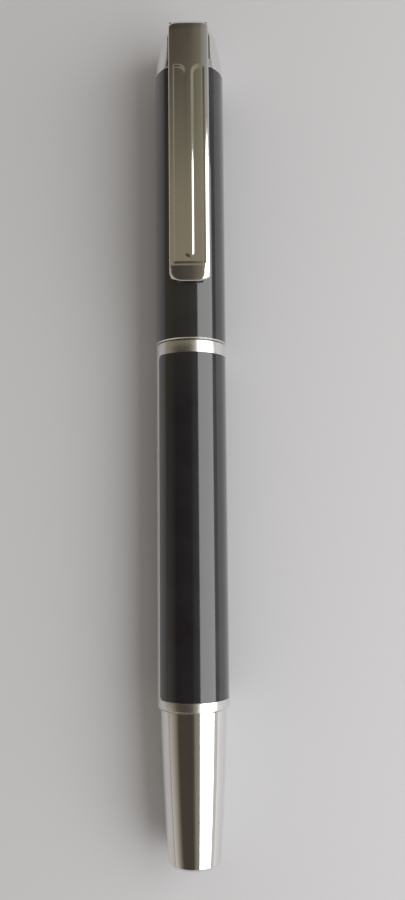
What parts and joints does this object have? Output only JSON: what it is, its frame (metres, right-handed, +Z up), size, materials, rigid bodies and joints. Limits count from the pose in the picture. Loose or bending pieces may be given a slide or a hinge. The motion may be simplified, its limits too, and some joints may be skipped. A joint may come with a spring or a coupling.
{
  "type": "fountain pen",
  "caption": "Slim capped fountain pen with glossy black barrel and cap, satin metal rings and strip, polished tapered tail, crown and long pocket clip.",
  "frame": {"origin": "on the surface the capped pen lies on, under the middle of its length", "axes": "+Y along the pen towards the cap end, +Z up through the clip, +X to the right of the clip seen with the cap end away"},
  "size_m": [0.0119, 0.14, 0.0137],
  "materials": {
    "satin_metal": "satin",
    "black_lacquer": "gloss",
    "bright_chrome": "polished",
    "bush_brass": "machined",
    "seal_rubber": "matte",
    "grip_plastic": "satin",
    "feed_plastic": "matte",
    "nib_steel": "polished",
    "tipping": "polished",
    "clear_plastic": "clear",
    "inner_plastic": "matte",
    "spring_steel": "satin"
  },
  "bodies": {
    "barrel": {"barrel_tube": "satin_metal", "barrel_wrap": "black_lacquer", "barrel_thread_bush": "bush_brass", "tail_cone": "bright_chrome", "tail_coupling": "bush_brass"},
    "seal_ring": {"section_seal_ring": "seal_rubber"},
    "section": {"grip_section": "grip_plastic", "grip_trim_ring": "bright_chrome", "section_thread_collar": "bush_brass", "nib_housing": "inner_plastic", "feed": "feed_plastic", "nib": "nib_steel", "nib_tip": "tipping", "ink_nipple": "inner_plastic"},
    "converter": {"converter_mouth": "clear_plastic", "converter_tube": "clear_plastic", "converter_ferrule": "bright_chrome", "converter_guide": "inner_plastic"},
    "knob": {"converter_knob": "inner_plastic", "converter_drive_nut": "inner_plastic"},
    "piston": {"piston_rod": "inner_plastic", "piston_seal": "seal_rubber"},
    "cap_clutch": {"cap_clutch_ring": "spring_steel"},
    "cap": {"cap_tube": "black_lacquer", "cap_crown": "bright_chrome", "inner_cap": "inner_plastic", "crown_screw": "spring_steel", "crown_lock_washer": "spring_steel"},
    "clip": {"clip": "bright_chrome"}
  },
  "joints": [
    {"name": "section_draw", "type": "slide", "parent": "barrel", "child": "seal_ring", "axis": [0, 1, 0], "range_m": [0, 0.004]},
    {"name": "section_turn", "type": "hinge", "parent": "seal_ring", "child": "section", "pos_m": [0, 0, 0.00595], "axis": [0, 1, 0], "range_deg": [0, 1440]},
    {"name": "cap_pull", "type": "slide", "parent": "section", "child": "cap_clutch", "axis": [0, 1, 0], "range_m": [0, 0.045]},
    {"name": "cap_turn", "type": "hinge", "parent": "cap_clutch", "child": "cap", "pos_m": [0, 0, 0.00595], "axis": [0, 1, 0], "continuous": true},
    {"name": "clip_flex", "type": "hinge", "parent": "cap", "child": "clip", "pos_m": [0, 0.0651, 0.0082], "axis": [-1, 0, 0], "range_deg": [0, 4], "stiffness_Nm_per_rad": 1},
    {"name": "converter_pull", "type": "slide", "parent": "section", "child": "converter", "axis": [0, -1, 0], "range_m": [0, 0.006]},
    {"name": "knob_turn", "type": "hinge", "parent": "converter", "child": "knob", "pos_m": [0, 0, 0.00595], "axis": [0, -1, 0], "range_deg": [0, 1440]},
    {"name": "piston_slide", "type": "slide", "parent": "converter", "child": "piston", "axis": [0, -1, 0], "range_m": [0, 0.016]}
  ],
  "couplings": [
    {"joint": "section_turn", "follows": "section_draw", "rad_per_m": 6283.2},
    {"joint": "knob_turn", "follows": "piston_slide", "rad_per_m": 1570.8}
  ]
}
